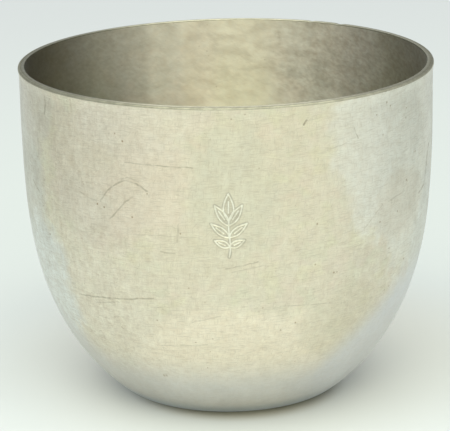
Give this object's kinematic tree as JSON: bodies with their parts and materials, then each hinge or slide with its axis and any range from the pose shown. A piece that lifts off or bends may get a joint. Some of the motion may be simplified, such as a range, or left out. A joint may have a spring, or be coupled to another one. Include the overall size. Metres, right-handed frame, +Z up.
{
  "type": "jefferson cup",
  "caption": "Plain round pewter drinking cup with an upright side that rolls in to a small flat foot, and no handle.",
  "frame": {"origin": "centre of the foot, on the surface that the cup stands on", "axes": "+Z up along the cup's axis of turning; +X and +Y are level and alike, because the cup is round"},
  "size_m": [0.0826, 0.0826, 0.0667],
  "materials": {
    "pewter": "satin pewter, faintly spun, with a warm yellow-grey tone, fine scratches and small dents from use"
  },
  "bodies": {
    "root": {"cup_body": "pewter"}
  },
  "joints": []
}
